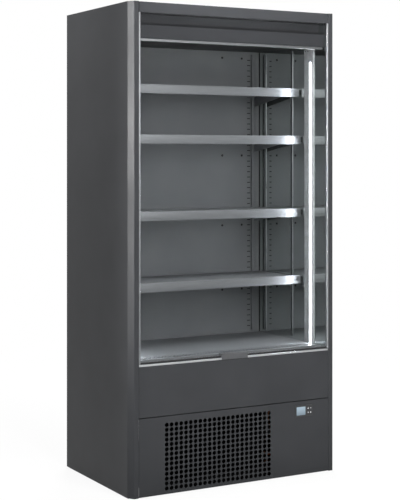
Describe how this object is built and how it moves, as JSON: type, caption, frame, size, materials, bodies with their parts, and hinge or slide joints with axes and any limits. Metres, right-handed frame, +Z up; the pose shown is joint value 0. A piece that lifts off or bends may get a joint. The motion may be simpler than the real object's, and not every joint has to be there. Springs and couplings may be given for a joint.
{
  "type": "open multideck refrigerated display cabinet",
  "caption": "Tall open-front refrigerated display cabinet with mirrored sides, lifting shelves, a pull-down night blind and a perforated machine panel.",
  "frame": {"origin": "on the floor under the middle of the cabinet", "axes": "+Z up, +X to the right of a person facing the open front, the open front faces -Y"},
  "size_m": [1, 0.635, 1.995],
  "materials": {
    "anthracite_paint": "satin powder coat",
    "interior_paint": "satin powder coat",
    "rail_silver": "satin grey lacquer",
    "anodised_aluminium": "satin anodised",
    "mirror_glass": "silvered glass",
    "bright_trim": "anodised",
    "grey_aluminium": "grey anodised",
    "light_carrier": "satin",
    "light_diffuser": "opal",
    "black_rubber": "matt",
    "black_plastic": "fine grain",
    "bezel_plastic": "satin",
    "key_plastic": "matt",
    "galvanised_steel": "galvanised",
    "foam": "black film on foam",
    "blind_cloth": "woven",
    "roller_tube": "mill finish",
    "coil_fins": "mill finish",
    "copper_pipe": "drawn copper",
    "compressor_black": "gloss lacquer",
    "fan_plastic": "moulded",
    "tray_plastic": "moulded",
    "box_plastic": "moulded",
    "black_paint": "matt powder coat",
    "zinc_steel": "zinc plated"
  },
  "bodies": {
    "cabinet": {"air_outlet_honeycomb": "black_plastic", "base_pan": "black_paint", "base_rails": "galvanised_steel", "blind_cassette": "anthracite_paint", "blind_catch": "black_plastic", "blind_fabric": "blind_cloth", "ceiling_panel": "interior_paint", "compressor": "compressor_black", "condensate_tray": "tray_plastic", "condenser_coil": "black_paint", "condenser_fan_shroud": "black_paint", "electrical_box": "box_plastic", "evaporator_coil": "coil_fins", "evaporator_fan_plate": "galvanised_steel", "evaporator_tub": "galvanised_steel", "fan_motors": "zinc_steel", "front_gasket_strip": "black_rubber", "front_rail": "anodised_aluminium", "header_fascia": "anthracite_paint", "inner_rear_panel": "interior_paint", "insulation_foam": "foam", "led_diffusers": "light_diffuser", "led_profiles": "light_carrier", "mid_front_panel": "anthracite_paint", "mirror_trims": "bright_trim", "rear_panel": "anthracite_paint", "rear_service_panel": "galvanised_steel", "refrigerant_pipes": "copper_pipe", "return_air_grille": "interior_paint", "shelf_brackets": "interior_paint", "side_mirrors": "mirror_glass", "side_panel_left": "anthracite_paint", "side_panel_right": "anthracite_paint", "slotted_uprights": "interior_paint", "top_panel": "anthracite_paint"},
    "blind_bar": {"blind_bar": "grey_aluminium"},
    "blind_roller": {"blind_tube": "roller_tube", "blind_roll": "blind_cloth"},
    "shelf_1": {"shelf_deck_1": "interior_paint", "price_rail_1": "rail_silver"},
    "shelf_2": {"shelf_deck_2": "interior_paint", "price_rail_2": "rail_silver"},
    "shelf_3": {"shelf_deck_3": "interior_paint", "price_rail_3": "rail_silver"},
    "shelf_4": {"shelf_deck_4": "interior_paint", "price_rail_4": "rail_silver"},
    "base_deck": {"base_deck": "interior_paint"},
    "lower_panel": {"lower_front_panel": "anthracite_paint", "controller_bezel": "bezel_plastic"},
    "button_1": {"button_1": "key_plastic"},
    "button_2": {"button_2": "key_plastic"},
    "button_3": {"button_3": "key_plastic"},
    "button_4": {"button_4": "key_plastic"},
    "condenser_fan": {"condenser_fan_blades": "fan_plastic"},
    "evaporator_fan_left": {"evaporator_fan_blades_left": "fan_plastic"},
    "evaporator_fan_right": {"evaporator_fan_blades_right": "fan_plastic"},
    "levelling_foot_front_left": {"levelling_foot_front_left": "zinc_steel"},
    "levelling_foot_front_right": {"levelling_foot_front_right": "zinc_steel"},
    "levelling_foot_rear_left": {"levelling_foot_rear_left": "zinc_steel"},
    "levelling_foot_rear_right": {"levelling_foot_rear_right": "zinc_steel"}
  },
  "joints": [
    {"name": "blind_pull", "type": "slide", "parent": "cabinet", "child": "blind_bar", "axis": [0, 0, 1], "range_m": [-1.3009, 0], "stiffness_N_per_m": 15, "springref_m": 1.5, "deforming": ["blind_fabric"]},
    {"name": "blind_roll_turn", "type": "hinge", "parent": "cabinet", "child": "blind_roller", "pos_m": [0, -0.2565, 1.878], "axis": [1, 0, 0], "range_deg": [0, 4400]},
    {"name": "shelf_1_lift", "type": "slide", "parent": "cabinet", "child": "shelf_1", "axis": [0, 0, 1], "range_m": [0, 0.08]},
    {"name": "shelf_2_lift", "type": "slide", "parent": "cabinet", "child": "shelf_2", "axis": [0, 0, 1], "range_m": [0, 0.08]},
    {"name": "shelf_3_lift", "type": "slide", "parent": "cabinet", "child": "shelf_3", "axis": [0, 0, 1], "range_m": [0, 0.08]},
    {"name": "shelf_4_lift", "type": "slide", "parent": "cabinet", "child": "shelf_4", "axis": [0, 0, 1], "range_m": [0, 0.08]},
    {"name": "base_deck_lift", "type": "slide", "parent": "cabinet", "child": "base_deck", "axis": [0, 0, 1], "range_m": [0, 0.12]},
    {"name": "lower_panel_pull", "type": "slide", "parent": "cabinet", "child": "lower_panel", "axis": [0, -1, 0], "range_m": [0, 0.15]},
    {"name": "button_1_press", "type": "slide", "parent": "lower_panel", "child": "button_1", "axis": [0, 1, 0], "range_m": [0, 0.0008], "stiffness_N_per_m": 300, "springref_m": -0.001},
    {"name": "button_2_press", "type": "slide", "parent": "lower_panel", "child": "button_2", "axis": [0, 1, 0], "range_m": [0, 0.0008], "stiffness_N_per_m": 300, "springref_m": -0.001},
    {"name": "button_3_press", "type": "slide", "parent": "lower_panel", "child": "button_3", "axis": [0, 1, 0], "range_m": [0, 0.0008], "stiffness_N_per_m": 300, "springref_m": -0.001},
    {"name": "button_4_press", "type": "slide", "parent": "lower_panel", "child": "button_4", "axis": [0, 1, 0], "range_m": [0, 0.0008], "stiffness_N_per_m": 300, "springref_m": -0.001},
    {"name": "condenser_fan_spin", "type": "hinge", "parent": "cabinet", "child": "condenser_fan", "pos_m": [-0.0892, -0.1795, 0.1705], "axis": [0, 1, 0], "continuous": true},
    {"name": "evaporator_fan_left_spin", "type": "hinge", "parent": "cabinet", "child": "evaporator_fan_left", "pos_m": [-0.19, -0.0755, 0.4445], "axis": [0, 1, 0], "continuous": true},
    {"name": "evaporator_fan_right_spin", "type": "hinge", "parent": "cabinet", "child": "evaporator_fan_right", "pos_m": [0.19, -0.0755, 0.4445], "axis": [0, 1, 0], "continuous": true},
    {"name": "foot_front_left_screw", "type": "slide", "parent": "cabinet", "child": "levelling_foot_front_left", "axis": [0, 0, 1], "range_m": [-0.02, 0]},
    {"name": "foot_front_right_screw", "type": "slide", "parent": "cabinet", "child": "levelling_foot_front_right", "axis": [0, 0, 1], "range_m": [-0.02, 0]},
    {"name": "foot_rear_left_screw", "type": "slide", "parent": "cabinet", "child": "levelling_foot_rear_left", "axis": [0, 0, 1], "range_m": [-0.02, 0]},
    {"name": "foot_rear_right_screw", "type": "slide", "parent": "cabinet", "child": "levelling_foot_rear_right", "axis": [0, 0, 1], "range_m": [-0.02, 0]}
  ],
  "couplings": [
    {"joint": "blind_roll_turn", "follows": "blind_pull", "rad_per_m": -58.14}
  ]
}
